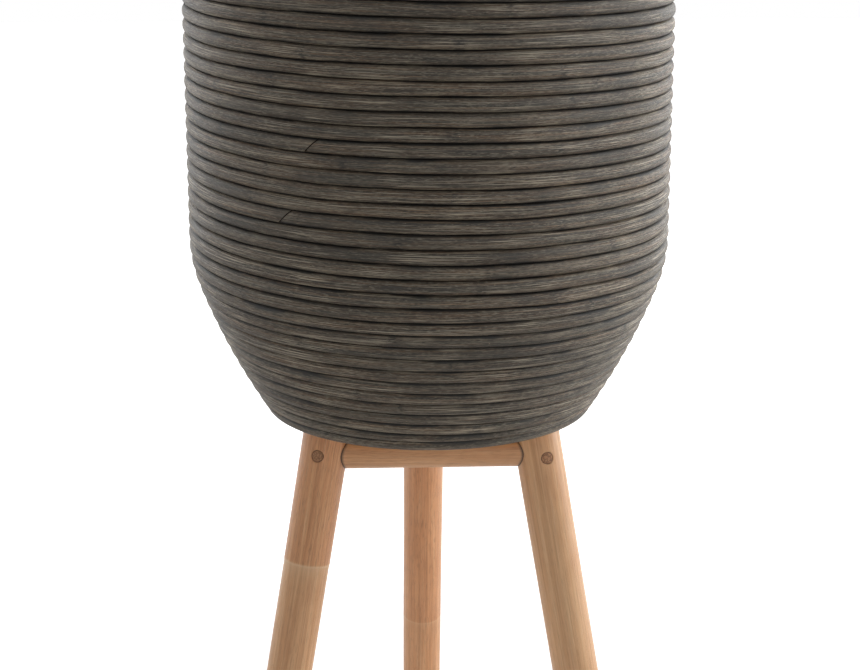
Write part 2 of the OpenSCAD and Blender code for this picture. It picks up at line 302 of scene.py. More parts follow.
    # A squarish round: a power of the cosine and sine flattens the faces
    shares = []
    for operation in ("COSINE", "SINE"):
        wave = add("Math", {0: side["angle"]}, operation=operation)
        amount = add("Math", {0: wave}, operation="ABSOLUTE")
        power = add("Math", {0: amount, 1: given["Flatness"]}, operation="POWER")
        sign = add("Math", {0: wave}, operation="SIGN")
        shares.append(add("Math", {0: power, 1: sign}, operation="MULTIPLY"))
    roundDepth = add("Math", {0: shares[0], 1: given["Half depth"]}, operation="MULTIPLY")
    height = add("Math", {0: shares[1], 1: at["halfHeight"]}, operation="MULTIPLY")

    # Cane nodes, one in each spacing at a place of its own
    seeded = add("Math", {0: given["Seed"], 1: winding["nodeShift"], 2: on["along"]},
                 operation="MULTIPLY_ADD")
    cell = add("Math", {0: seeded, 1: given["Node spacing"]}, operation="DIVIDE")
    cellIndex = add("Math", {0: cell}, operation="FLOOR")
    chance = add("TexWhiteNoise", {"W": cellIndex}, noise_dimensions="1D")
    nodeFrom, nodeReach = winding["nodeRoom"]
    nodePlace = add("Math", {0: chance.outputs["Value"], 1: nodeReach, 2: nodeFrom},
                    operation="MULTIPLY_ADD")
    nodeAt = add("Math", {0: cellIndex, 1: nodePlace}, operation="ADD")
    away = add("Math", {0: cell, 1: nodeAt}, operation="SUBTRACT")
    awayLength = add("Math", {0: away, 1: given["Node spacing"]}, operation="MULTIPLY")
    awayShare = add("Math", {0: awayLength, 1: winding["nodeLength"]}, operation="DIVIDE")
    square = add("Math", {0: awayShare, 1: awayShare}, operation="MULTIPLY")
    falling = add("Math", {0: square, 1: -1.0}, operation="MULTIPLY")
    caneNode = add("Math", {0: falling}, operation="EXPONENT")

    # The outer side of each pole stands in or out a little, and swells at its nodes
    wanderAt = add("CombineXYZ", {"X": seeded, "Y": given["Seed"]})
    wander = add("TexNoise", {"Vector": wanderAt, "Scale": winding["wanderScale"], "Detail": 2.0})
    inward = add("Math", {0: wander, 1: winding["outermost"]}, operation="SUBTRACT")
    inOut = add("Math", {0: inward, 1: given["In and out"]}, operation="MULTIPLY")
    swollen = add("Math", {0: caneNode, 1: given["Node swell"], 2: inOut}, operation="MULTIPLY_ADD")
    level = add("Math", {0: swollen, 1: 0.0}, operation="MINIMUM")
    facing = add("Math", {0: side["angle"]}, operation="COSINE")
    outerShare = add("MapRange", {0: facing, 1: -1.0})
    depth = add("Math", {0: level, 1: outerShare, 2: roundDepth}, operation="MULTIPLY_ADD")

    # The ends are cut on a slant: points are pushed along the pole by their height
    toEnd = add("Math", {0: on["total"], 1: on["along"]}, operation="SUBTRACT")
    slant = 0.0
    for room, cut in ((on["along"], "Cut start"), (toEnd, "Cut end")):
        near = add("MapRange", {0: room, 2: winding["scarfReach"], 3: 1.0, 4: 0.0})
        slant = add("Math", {0: near, 1: given[cut], 2: slant}, operation="MULTIPLY_ADD")
    pushed = add("Math", {0: slant, 1: height}, operation="MULTIPLY")

    total = at["centre"]
    for direction, amount in (("out", depth), ("up", height), ("forward", pushed)):
        step = add("VectorMath", {0: at[direction], "Scale": amount}, operation="SCALE")
        total = add("VectorMath", {0: total, 1: step}, operation="ADD")
    shaped = add("GeometryNodeSetPosition", {"Geometry": tube, "Position": total})

    # Materials read the pole as if it were straight, and how near a cane node or the next course is
    alongSeeded = add("Math", {0: given["Seed"], 1: winding["grainShift"], 2: on["along"]},
                      operation="MULTIPLY_ADD")
    straight = add("CombineXYZ", {"X": depth, "Y": height, "Z": alongSeeded})
    toLine = add("Math", {0: shares[1]}, operation="ABSOLUTE")
    for name, kind, value in (("straight", "FLOAT_VECTOR", straight), ("caneNode", "FLOAT", caneNode),
                              ("toLine", "FLOAT", toLine)):
        shaped = add("GeometryNodeStoreNamedAttribute", {"Geometry": shaped, "Name": name, "Value": value},
                     data_type=kind, domain="POINT")
    endTree(add, shaped, given["Bark"])
    return tree


def windPoles(wallLine, bark):
    tree = makePoleTree()
    length = wallLength()
    pitch = length / wall["courses"]
    slant = 1 / math.tan(winding["scarfAngle"])
    hoopEdge = (wall["poleWidth"] + winding["courseGap"]) / 2
    shared = {
        "Wall line": wallLine, "Bark": bark, "Sides": winding["sides"], "Half depth": winding["depth"] / 2,
        "Course height": pitch, "Course gap": winding["courseGap"], "Flatness": winding["flatness"],
        "Sway": winding["sway"], "Width change": winding["widthChange"],
        "In and out": winding["inAndOut"], "Node spacing": winding["nodeSpacing"],
        "Node swell": winding["nodeSwell"],
    }
    made = []
    for number, (strand, joints) in enumerate(winding["joints"].items()):
        marks = [winding["tipTrim"]] + [share * wall["courses"] for share in joints]
        marks.append(wall["courses"] - winding["tipTrim"])
        for k in range(len(marks) - 1):
            first, last = marks[k], marks[k + 1]
            radius = wallPlace((first + last) / 2 * pitch).x
            gap = winding["scarfGap"] / 2 / math.sin(winding["scarfAngle"]) / (math.pi * radius)
            name = f"pole_{strand}{k + 1}"
            pole = runTree(name + "_washed", tree, shared | {
                "From": first + (gap if k else 0), "To": last - (gap if k < len(joints) else 0),
                "Rings": math.ceil((last - first) * math.pi * radius / winding["ringSpacing"]),
                "Pitch": pitch, "First length": 0.0, "Seed": 1.0 + k + 10 * number,
                "Start angle": winding["startAngle"] + math.pi * number,
                "Lowest length": hoopEdge, "Highest length": length - hoopEdge,
                "Cut start": -slant if k else 0.0, "Cut end": -slant if k < len(joints) else 0.0,
            })
            made.append((pole, name))
    for name, place, seed in (("base_hoop", 0.0, 31.0), ("rim_hoop", length, 32.0)):
        gap = winding["scarfGap"] / 2 / (math.pi * wallPlace(place).x)
        hoop = runTree(name + "_washed", tree, shared | {
            "From": gap, "To": 2 - gap, "Pitch": 0.0, "First length": place, "Seed": seed,
            "Rings": math.ceil(math.tau * wallPlace(place).x / winding["ringSpacing"]),
            "Start angle": winding["hoopJoints"][name], "Lowest length": -1.0, "Highest length": 1.0,
            "Course height": wall["poleWidth"], "Cut start": -slant, "Cut end": -slant,
            "Sway": 0.0, "Width change": 0.0,
        })
        made.append((hoop, name))
    for piece, name in made:
        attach(piece, "planter")
        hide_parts(name)
    print("poles and hoops:", len(made), "pieces,", sum(len(p.data.polygons) for p, _ in made), "faces")
    return pitch


# Brads that hold the courses to the six ribs: most are under the stain, and some show
brads = {
    "ribs": 6,
    "headRadius": 0.75 * mm,
    "headFaces": (10, 6),
    "proud": 0.12 * mm,
    "sunkShare": 0.24,
    "heightShare": 0.1,
    "shown": 0.22,
    "seed": 5,
}


def makeBradTree():  # brad heads where the ribs cross the courses, some of them under the stain
    tree, add, given = newTree("pinCourses", {
        "Wall line": "Object", "Steel": "Material", "Courses": "Int", "Ribs": "Int", "Seed": "Int",
        "Pitch": "Float", "Start angle": "Float", "Stand out": "Float", "Head radius": "Float",
        "Head height": "Float", "Shown": "Float",
    })
    count = add("Math", {0: given["Courses"], 1: given["Ribs"]}, operation="MULTIPLY")
    points = add("GeometryNodePoints", {"Count": count})
    index = add("GeometryNodeInputIndex")
    rib = add("Math", {0: index, 1: given["Ribs"]}, operation="MODULO")
    courseShare = add("Math", {0: index, 1: given["Ribs"]}, operation="DIVIDE")
    course = add("Math", {0: courseShare}, operation="FLOOR")
    ribShare = add("Math", {0: rib, 1: given["Ribs"]}, operation="DIVIDE")
    azimuth = add("Math", {0: ribShare, 1: math.tau}, operation="MULTIPLY")

    # A course passes a rib at a fixed part of its half turn
    behind = add("Math", {0: given["Start angle"], 1: azimuth}, operation="SUBTRACT")
    halfTurns = add("Math", {0: behind, 1: math.pi}, operation="DIVIDE")
    part = add("Math", {0: halfTurns, 1: 1.0, 2: 0.0}, operation="WRAP")
    turns = add("Math", {0: course, 1: part}, operation="ADD")
    length = add("Math", {0: turns, 1: given["Pitch"]}, operation="MULTIPLY")
    wallLine = add("GeometryNodeObjectInfo", {"Object": given["Wall line"]})
    sample = add("GeometryNodeSampleCurve", {"Curves": wallLine.outputs["Geometry"], "Length": length},
                 mode="LENGTH")
    rise = add("SeparateXYZ", {0: sample.outputs["Tangent"]})
    inwards = add("Math", {0: rise.outputs["X"], 1: -1.0}, operation="MULTIPLY")
    outward = add("CombineXYZ", {"X": rise.outputs["Z"], "Z": inwards})
    step = add("VectorMath", {0: outward, "Scale": given["Stand out"]}, operation="SCALE")
    spot = add("VectorMath", {0: sample.outputs["Position"], 1: step}, operation="ADD")
    upright = add("CombineXYZ", {"Z": 1.0})
    place, normal = [add("VectorRotate", {"Vector": way, "Axis": upright, "Angle": azimuth},
                         rotation_type="AXIS_ANGLE") for way in (spot, outward)]
    placed = add("GeometryNodeSetPosition", {"Geometry": points, "Position": place})
    chance = add("FunctionNodeRandomValue", {2: 0.0, 3: 1.0, "Seed": given["Seed"]}, data_type="FLOAT")
    hidden = add("FunctionNodeCompare", {0: chance.outputs[1], 1: given["Shown"]}, data_type="FLOAT",
                 operation="GREATER_THAN")
    seen = add("GeometryNodeDeleteGeometry", {"Geometry": placed, "Selection": hidden})
    around, over = brads["headFaces"]
    head = add("GeometryNodeMeshUVSphere",
               {"Segments": around, "Rings": over, "Radius": given["Head radius"]})
    flat = add("Math", {0: given["Head height"], 1: given["Head radius"]}, operation="DIVIDE")
    flatten = add("CombineXYZ", {"X": 1.0, "Y": 1.0, "Z": flat})
    low = add("GeometryNodeTransform", {"Geometry": head, "Scale": flatten})
    turned = add("FunctionNodeAlignRotationToVector", {"Vector": normal}, axis="Z")
    heads = add("GeometryNodeInstanceOnPoints", {"Points": seen, "Instance": low, "Rotation": turned})
    endTree(add, heads, given["Steel"])
    return tree


def pinCourses(wallLine, pitch, steel):
    heads = runTree("brad_heads", makeBradTree(), {
        "Wall line": wallLine, "Steel": steel, "Courses": wall["courses"] - 1, "Ribs": brads["ribs"],
        "Pitch": pitch, "Start angle": winding["startAngle"],
        "Stand out": winding["depth"] / 2 - winding["inAndOut"] * brads["sunkShare"],
        "Head radius": brads["headRadius"],
        "Head height": brads["proud"] + winding["inAndOut"] * brads["heightShare"],
        "Shown": brads["shown"], "Seed": brads["seed"],
    })
    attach(heads, "planter")
    print("brad heads:", len(heads.data.polygons), "faces")


# Stand
def makePiece(name, shape):
    bmesh.ops.recalc_face_normals(shape, faces=shape.faces)
    mesh = bpy.data.meshes.new(name)
    shape.to_mesh(mesh)
    shape.free()
    return addObject(name, mesh)


def tube(name, start, direction, places, radiusAt, sides):  # a closed tube of rings along a straight axis
    turn = direction.to_track_quat("Z", "Y").to_matrix()
    shape = bmesh.new()
    rings = []
    for place in places:
        ring = []
        for i in range(sides):
            angle = math.tau * i / sides
            radius = radiusAt(place, angle)
            spot = Vector((radius * math.cos(angle), radius * math.sin(angle), place))
            ring.append(shape.verts.new(start + turn @ spot))
        rings.append(ring)
    for low, high in zip(rings, rings[1:]):
        for i in range(sides):
            shape.faces.new((low[i], low[(i + 1) % sides], high[(i + 1) % sides], high[i]))
    shape.faces.new(list(reversed(rings[0])))
    shape.faces.new(rings[-1])
    return makePiece(name, shape)


def sliceOff(piece, point, normal):  # keeps what lies behind the plane and closes the cut
    shape = bmesh.new()
    shape.from_mesh(piece.data)
    everything = shape.verts[:] + shape.edges[:] + shape.faces[:]
    cut = bmesh.ops.bisect_plane(shape, geom=everything, plane_co=point, plane_no=normal, clear_outer=True)
    edges = [e for e in cut["geom_cut"] if isinstance(e, bmesh.types.BMEdge)]
    bmesh.ops.holes_fill(shape, edges=edges)
    bmesh.ops.recalc_face_normals(shape, faces=shape.faces)
    shape.to_mesh(piece.data)
    shape.free()


def carve(piece, cutters):
    for cutter in cutters:
        modifier = piece.modifiers.new("carve", "BOOLEAN")
        modifier.operation, modifier.solver, modifier.object = "DIFFERENCE", "EXACT", cutter
    settle(piece)
    for cutter in cutters:
        bpy.data.objects.remove(cutter)


# The waves that the scraper leaves: how often around, radians a metre along, how far the seed
# shifts them, and their share. The rest is how the edges of a piece are eased.
scraping = {
    "waves": [(2, 9, 1, 0.4), (3, -23, 2, 0.3), (0, 31, 3, 0.3)],
    "sharpAngle": math.radians(40),
    "bevelAngle": math.radians(50),
    "bevelSegments": 2,
}


def softWave(place, angle, seed):  # slow unevenness of a hand scraped cane, from -1 to 1
    return sum(share * math.sin(around * angle + along * place + shift * seed)
               for around, along, shift, share in scraping["waves"])


def bevelEdges(piece, width):
    bevel = piece.modifiers.new("edges", "BEVEL")
    bevel.width, bevel.segments = width, scraping["bevelSegments"]
    bevel.limit_method, bevel.angle_limit = "ANGLE", scraping["bevelAngle"]
    settle(piece)


def finishPiece(piece, node, material):
    piece.data.materials.clear()
    piece.data.materials.append(material)
    piece.data.shade_smooth()
    piece.data.set_sharp_from_angle(angle=scraping["sharpAngle"])
    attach(piece, "planter")
    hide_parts(node)


def markStraight(piece, start, direction, seed, fields):  # a place along the cane, and what else is given
    turn = direction.to_track_quat("Z", "Y").to_matrix().transposed()
    mesh = piece.data
    mesh.attributes.new("straight", "FLOAT_VECTOR", "POINT")
    for name in fields:
        mesh.attributes.new(name, "FLOAT", "POINT")
    places = [turn @ (vertex.co - start) for vertex in mesh.vertices]
    for i, place in enumerate(places):
        mesh.attributes["straight"].data[i].vector = place + Vector((0, 0, seed))
    for name, valueAt in fields.items():
        values = mesh.attributes[name].data
        for i, place in enumerate(places):
            values[i].value = valueAt(place, mesh.vertices[i].co)


legs = {
    "names": ["leg_left", "leg_right", "leg_rear"],
    "azimuths": [math.radians(a) for a in (210, 330, 90)],
    "topRadii": [19.25 * mm, 19.25 * mm, 18.25 * mm],
    "taper": 0.9 * mm,
    "splay": math.radians(11),
    "inset": 29 * mm,
    "nodeShares": [0.648, 0.18, 0.24],
    "ringShown": [0.9, 0.6, 0.25],
    "ringWidth": 0.7 * mm,
    "coarse": [(0.9, 0.5), (0.3, 0.3), (0.85, 0.7)],
    "coarseFade": 2 * mm,
    "freshShare": 0.6,
    "freshLength": 7 * mm,
    "nodeRidge": [0.2 * mm, 0.2 * mm, 0.05 * mm],
    "ridgeWidth": 1.6 * mm,
    "nodeStep": [0.25 * mm, 0.2 * mm, 0.05 * mm],
    "stepWidth": 0.8 * mm,
    "spare": 14 * mm,
    "sides": 72,
    "ringSpacing": 5 * mm,
    "nodeRingSpacing": 0.6 * mm,
    "nodeRings": 7,
    "wander": 0.21 * mm,
    "skin": 0.2 * mm,
    "bevel": 0.3 * mm,
    "copeSides": 96,
}


def legAxis(i):
    azimuth = legs["azimuths"][i]
    out = Vector((math.cos(azimuth), math.sin(azimuth), 0))
    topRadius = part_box("base_board")[1].x - legs["inset"]
    start = out * topRadius + Vector((0, 0, wall["footZ"]))
    down = out * math.sin(legs["splay"]) + Vector((0, 0, -math.cos(legs["splay"])))
    return start, down


def legLength():
    return wall["footZ"] / math.cos(legs["splay"])


def plainLeg(i, grow):  # the leg's smooth form, for coping and for laying the plugs flush
    start, down = legAxis(i)
    length, top = legLength(), legs["topRadii"][i]

    def radiusAt(place, angle):
        return top - legs["taper"] * max(place, 0) / length + grow

    places = [-legs["spare"], 0, length + legs["spare"]]
    return tube("plainLeg", start, down, places, radiusAt, legs["copeSides"])


rails = {
    "names": ["rail_front", "rail_right", "rail_left"],
    "radius": 14.25 * mm,
    "drop": 27 * mm,
    "screwInset": 4.5 * mm,
    "seat": 0.3 * mm,
    "mitreGap": 0.2 * mm,
    "coarse": 0.55,
    "seamShown": 1.3,
    "seamWidth": 1.7 * mm,
    "sides": 64,
    "ringSpacing": 5 * mm,
    "copeRings": [k * 0.6 * mm for k in range(12, 42)],
    "wander": 0.125 * mm,
    "bevel": 0.25 * mm,
}


def thirdTurn(i):
    return Matrix.Rotation(math.radians(120 * i), 3, "Z")


def railPlace(i):  # middle of rail i, its direction, and the distance from there to the leg axes
    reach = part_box("base_board")[1].x - legs["inset"] + rails["drop"] * math.tan(legs["splay"])
    turn = thirdTurn(i)
    middle = turn @ Vector((0, -reach / 2, wall["footZ"] - rails["drop"]))
    return middle, turn @ Vector((1, 0, 0)), reach * math.cos(math.radians(30))


plugs = {
    "radius": 4.95 * mm,
    "holeRadius": 5.15 * mm,
    "length": 6.5 * mm,
    "holeSpare": 0.4 * mm,
    "holeSides": 48,
    "shift": 2.1 * mm,
    "sides": 28,
    "rings": [(0, 0), (0.35, 0), (0.7, 0), (0.93, 0), (1, 0.25 * mm), (1, 4 * mm)],
    "sunk": 0.12 * mm,
    "castFrom": 50 * mm,
}


def plugPlaces():  # for each plug: its leg, a point on its screw's line and its direction
    for i in range(3):
        middle, along, half = railPlace(i)
        inwards = thirdTurn(i) @ Vector((0, rails["screwInset"], 0))
        for end, leg in ((-1, i), (1, (i + 1) % 3)):
            aside = half * along + Vector((0, 0, plugs["shift"]))
            yield leg, middle + inwards + end * aside, end * along


def makeLegs(cane):
    for i, name in enumerate(legs["names"]):
        start, down = legAxis(i)
        length = legLength()
        nodeAt = (1 - legs["nodeShares"][i]) * length
        top, seed = legs["topRadii"][i], 1.7 * i + 0.4

        def radiusAt(place, angle):
            ridge = legs["nodeRidge"][i] * math.exp(-((place - nodeAt) / legs["ridgeWidth"]) ** 2)
            step = legs["nodeStep"][i] / (1 + math.exp((place - nodeAt) / legs["stepWidth"]))
            wave = legs["wander"] * softWave(place, angle, seed)
            return top - legs["taper"] * max(place, 0) / length + ridge + step - legs["skin"] + wave

        count = math.ceil((length + 2 * legs["spare"]) / legs["ringSpacing"])
        places = [-legs["spare"] + k * legs["ringSpacing"] for k in range(count + 1)]
        places = [p for p in places if abs(p - nodeAt) > legs["ringSpacing"]]
        most = legs["nodeRings"]
        places += [nodeAt + k * legs["nodeRingSpacing"] for k in range(-most, most + 1)]
        leg = tube(name + "_cane", start, down, sorted(places), radiusAt, legs["sides"])
        sliceOff(leg, Vector((0, 0, 0)), Vector((0, 0, -1)))
        sliceOff(leg, Vector((0, 0, wall["footZ"])), Vector((0, 0, 1)))
        ends = [top - plugs["length"] - plugs["holeSpare"], 2 * top]
        carve(leg, [tube("hole", spot, way, ends, lambda l, a: plugs["holeRadius"], plugs["holeSides"])
                    for owner, spot, way in plugPlaces() if owner == i])
        bevelEdges(leg, legs["bevel"])
        above, below = legs["coarse"][i]
        shown = legs["ringShown"][i]

        def ringAt(place, spot):
            return shown * math.exp(-((place.z - nodeAt) / legs["ringWidth"]) ** 2)

        def coarseAt(place, spot):
            return below + (above - below) * min(max((nodeAt - place.z) / legs["coarseFade"], 0), 1)

        def freshAt(place, spot):
            past = place.z - nodeAt
            return legs["freshShare"] * shown * math.exp(-abs(past) / legs["freshLength"]) * (past > 0)

        markStraight(leg, start, down, 3.0 * i, {"caneNode": ringAt, "coarse": coarseAt, "fresh": freshAt})
        finishPiece(leg, name, cane)
    print("legs made")


def makeRails(cane):
    for i, name in enumerate(rails["names"]):
        middle, along, half = railPlace(i)
        start = middle - half * along

        def radiusAt(place, angle):
            return rails["radius"] + rails["wander"] * (softWave(place, angle, 5.0 + i) - 1)

        count = math.ceil(2 * half / rails["ringSpacing"])
        fine = rails["copeRings"]
        places = [2 * half * k / count for k in range(count + 1)]
        places = [p for p in places if fine[-1] < p < 2 * half - fine[-1]]
        places = sorted([0, 2 * half] + places + fine + [2 * half - p for p in fine])
        rail = tube(name + "_cane", start, along, places, radiusAt, rails["sides"])
        carve(rail, [plainLeg(i, rails["seat"]), plainLeg((i + 1) % 3, rails["seat"])])
        for side in (-1, 1):  # the rails are mitred where they meet behind a leg
            sixth = math.radians(60)
            plane = thirdTurn(i) @ Vector((side * math.cos(sixth), math.sin(sixth), 0))
            sliceOff(rail, -plane * rails["mitreGap"], plane)
        bevelEdges(rail, rails["bevel"])
        axes = [legAxis(i), legAxis((i + 1) % 3)]

        def seamShadeAndDirt(place, spot):  # painted shade of the gap in the coped joint, with some dirt and glue
            gaps = [(spot - origin).cross(way).length - legs["topRadii"][0] for origin, way in axes]
            return min(max(rails["seamShown"] - min(gaps) / rails["seamWidth"], 0), 1)

        markStraight(rail, start, along, 11.0 + 2 * i,
                     {"seamShadeAndDirt": seamShadeAndDirt, "coarse": lambda place, spot: rails["coarse"]})
        finishPiece(rail, name, cane)
    print("rails made")


def makePlugs(wood):  # dowel ends, cut flush with the round of the leg
    shape = bmesh.new()
    straight = shape.verts.layers.float_vector.new("straight")
    surfaces = []
    for i in range(3):
        leg = plainLeg(i, 0)
        graph = bpy.context.evaluated_depsgraph_get()
        surfaces.append(BVHTree.FromObject(leg, graph))
        bpy.data.objects.remove(leg)
    for number, (leg, spot, way) in enumerate(plugPlaces()):
        turn = way.to_track_quat("Z", "Y").to_matrix()
        rings = []
        for share, drop in plugs["rings"]:
            ring = []
            for k in range(1 if share == 0 else plugs["sides"]):
                angle = math.tau * k / plugs["sides"]
                flat = Vector((math.cos(angle), math.sin(angle), 0)) * share * plugs["radius"]
                outside = spot + turn @ flat + way * plugs["castFrom"]
                hit = surfaces[leg].ray_cast(outside, -way)[0]
                vertex = shape.verts.new(hit - way * (drop + plugs["sunk"]))
                vertex[straight] = flat + Vector((0, 0, number))
                ring.append(vertex)
            rings.append(ring)
        for k in range(plugs["sides"]):
            after = (k + 1) % plugs["sides"]
            shape.faces.new((rings[0][0], rings[1][k], rings[1][after]))
            for inner, outer in zip(rings[1:], rings[2:]):
                shape.faces.new((inner[k], outer[k], outer[after], inner[after]))
        shape.faces.new(list(reversed(rings[-1])))
    finishPiece(makePiece("plug_ends", shape), "rail_plugs", wood)
    print("plugs made")


# Materials
def newMaterial(name):  # a material, its node maker and its shader
    material = bpy.data.materials.new(name)
    material.use_nodes = True
    tree = material.node_tree
    return material, partial(addNode, tree), tree.nodes["Principled BSDF"]


def grainNoises(add, straight, grains):  # noises drawn out along a pole, by size across and along
    noises = {}
    for name, (across, along, detail, rough) in grains.items():
        at = add("VectorMath", {0: straight, 1: (1 / across, 1 / across, 1 / along)}, operation="MULTIPLY")
        noises[name] = add("TexNoise", {"Vector": at, "Scale": 1.0, "Detail": detail, "Roughness": rough})
    return noises


def objectGrain(add, sizes, detail, stops, distortion=0.0):  # a noise of a real size, and its colours
    place = add("TexCoord").outputs["Object"]
    at = add("VectorMath", {0: place, 1: [1 / size for size in sizes]}, operation="MULTIPLY")
    grain = add("TexNoise", {"Vector": at, "Scale": 1.0, "Detail": detail, "Distortion": distortion})
    return grain, add("ValToRGB", {0: grain}, stops=stops)


# One colour after another, each where its source is in range, and less where a factor is low
def paintOver(add, colour, layers):
    for source, start, full, amount, paint, *factors in layers:
        share = add("MapRange", {0: source, 1: start, 2: full, 3: 0.0, 4: amount})
        for factor in factors:
            share = add("Math", {0: share, 1: factor}, operation="MULTIPLY")
        colour = add("Mix", {0: share, 6: colour, 7: linear(paint)}, data_type="RGBA")
    return colour


def cover(add, shader, colour, rough, relief, strength, depth):  # colour, gloss and a fine relief
    bump = add("Bump", {"Strength": strength, "Distance": depth, "Height": relief})
    feed(shader, {"Base Color": colour, "Roughness": rough, "Normal": bump})


def washedRattan():  # rattan pole, dark stain washed off its ribs of fibre: streaky, matt, grey over brown
    material, add, shader = newMaterial("washedRattan")
    told = {name: add("Attribute", attribute_name=name).outputs
            for name in ("straight", "caneNode", "toLine")}
    noise = grainNoises(add, told["straight"]["Vector"], {
        "fibre": (0.85 * mm, 95 * mm, 4, 0.62), "fine": (0.48 * mm, 17 * mm, 4, 0.7),
        "scratch": (0.45 * mm, 45 * mm, 1, 0.5), "fleck": (0.8 * mm, 4 * mm, 2, 0.5),
        "grit": (0.5 * mm, 4.4 * mm, 1, 0.5), "cluster": (9 * mm, 45 * mm, 2, 0.55),
        "hue": (1.2 * mm, 70 * mm, 4, 0.65), "band": (3.4 * mm, 190 * mm, 1, 0.5),
        "tone": (60 * mm, 260 * mm, 1, 0.5),
    })
    stops = (0.32, 0.46, 0.57, 0.72)
    greys = ("#26251f", "#45423a", "#5f5b50", "#8f8a7b")
    browns = ("#2a1f15", "#543d29", "#72563d", "#a08566")
    grey, brown = [add("ValToRGB", {0: noise["fibre"]}, stops=zip(stops, shades))
                   for shades in (greys, browns)]
    brownness = add("MapRange", {0: noise["hue"], 1: 0.4, 2: 0.62, 3: 0.1, 4: 0.95})
    colour = add("Mix", {0: brownness, 6: grey, 7: brown}, data_type="RGBA")
    colour = paintOver(add, colour, (
        (noise["band"], 0.5, 0.34, 0.6, "#2d2a24"), (noise["band"], 0.54, 0.7, 0.3, "#918876"),
        (noise["grit"], 0.48, 0.37, 0.6, "#28241e"), (noise["grit"], 0.56, 0.67, 0.4, "#a49b87"),
        (noise["fine"], 0.48, 0.34, 0.75, "#26231e"), (noise["tone"], 0.56, 0.4, 0.35, "#35312a"),
        (noise["cluster"], 0.42, 0.3, 0.45, "#2b2a27"), (noise["fleck"], 0.66, 0.72, 0.85, "#171512"),
    ))

    # Pale scratches, most of them in clusters, chips that bare the pale wood, broken dark rings at
    # the cane nodes, and painted shade in the lines between the courses, with the stain left there
    clustered = add("MapRange", {0: noise["cluster"], 1: 0.46, 2: 0.62, 3: 0.15, 4: 1.0})
    # how far the painted shade and stain reach from each line between courses, by patch
    lineShadeAndStainSpread = add("Math", {0: noise["cluster"], 1: -1.1, 2: 0.55}, operation="MULTIPLY_ADD")
    lineShadeAndStain = add("Math", {0: told["toLine"]["Fac"], 1: lineShadeAndStainSpread}, operation="ADD")
    colour = paintOver(add, colour, (
        (noise["scratch"], 0.57, 0.64, 0.85, "#b6aa95", clustered),
        (noise["fleck"], 0.22, 0.2, 0.8, "#d2b48c"),
        (noise["fleck"], 0.46, 0.56, 0.85, "#1d1b17", told["caneNode"]["Fac"]),
        # painted shade: near black in the grooves between courses, partly stain left in them
        (lineShadeAndStain, 0.79, 0.98, 0.95, "#11100d"),
    ))
    relief = add("Math", {0: noise["fibre"], 1: noise["fine"]}, operation="ADD")
    rough = add("MapRange", {0: noise["fine"], 1: 0.3, 2: 0.7, 3: 0.7, 4: 0.47})
    cover(add, shader, colour, rough, relief, 0.8, 0.5 * mm)
    return material


def peeledCane():  # thick cane with its bark scraped off: satin, fine pores in lines, paler at the node
    material, add, shader = newMaterial("peeledCane")
    told = {name: add("Attribute", attribute_name=name).outputs
            for name in ("straight", "caneNode", "coarse", "seamShadeAndDirt", "fresh")}
    noise = grainNoises(add, told["straight"]["Vector"], {
        "grain": (2.2 * mm, 130 * mm, 3, 0.55), "pore": (0.5 * mm, 9 * mm, 2, 0.5),
        "stripe": (5 * mm, 220 * mm, 2, 0.5), "hair": (0.8 * mm, 55 * mm, 2, 0.5),
        "cloud": (20 * mm, 55 * mm, 2, 0.5),
    })
    stops = (0.3, 0.5, 0.7)
    smoothShades, coarseShades = ("#d2a577", "#deb385", "#e7c194"), ("#c88a5c", "#d69768", "#dfa877")
    smoothCane, coarseCane = [add("ValToRGB", {0: noise["grain"]}, stops=zip(stops, shades))
                              for shades in (smoothShades, coarseShades)]
    colour = add("Mix", {0: told["coarse"]["Fac"], 6: smoothCane, 7: coarseCane}, data_type="RGBA")

    # Streaks and pores, painted shade with some dirt in the coped joints, paler cane below the node,
    # and the node itself as a thin pale line, faint in places
    poreDepth = add("MapRange", {0: told["coarse"]["Fac"], 3: 0.06, 4: 0.5})
    pores = add("MapRange", {0: noise["pore"], 1: 0.54, 2: 0.66})
    faint = add("MapRange", {0: noise["cloud"], 1: 0.35, 2: 0.6, 3: 0.2, 4: 0.6})
    colour = paintOver(add, colour, (
        (noise["stripe"], 0.52, 0.7, 0.3, "#a9764c"), (noise["hair"], 0.56, 0.7, 0.22, "#ecd0ae"),
        (noise["hair"], 0.45, 0.3, 0.3, "#a0704a"), (noise["cloud"], 0.5, 0.7, 0.35, "#c1875b"),
        (pores, 0.0, 1.0, 1.0, "#93653f", poreDepth),
        # painted shade of the coped joint's gap, with some dirt
        (told["seamShadeAndDirt"]["Fac"], 0.0, 1.0, 1.0, "#3f2b1d"),
        (told["fresh"]["Fac"], 0.0, 1.0, 1.0, "#e2bf98"),
        (told["caneNode"]["Fac"], 0.0, 1.0, 1.0, "#ecd0aa", faint),
    ))
    relief = add("Math", {0: pores, 1: -0.6, 2: noise["grain"]}, operation="MULTIPLY_ADD")
    rough = add("MapRange", {0: noise["grain"], 1: 0.3, 2: 0.7, 3: 0.46, 4: 0.34})
    feed(shader, {"Coat Weight": 0.2, "Coat Roughness": 0.3})
    cover(add, shader, colour, rough, relief, 0.8, 0.25 * mm)
    return material


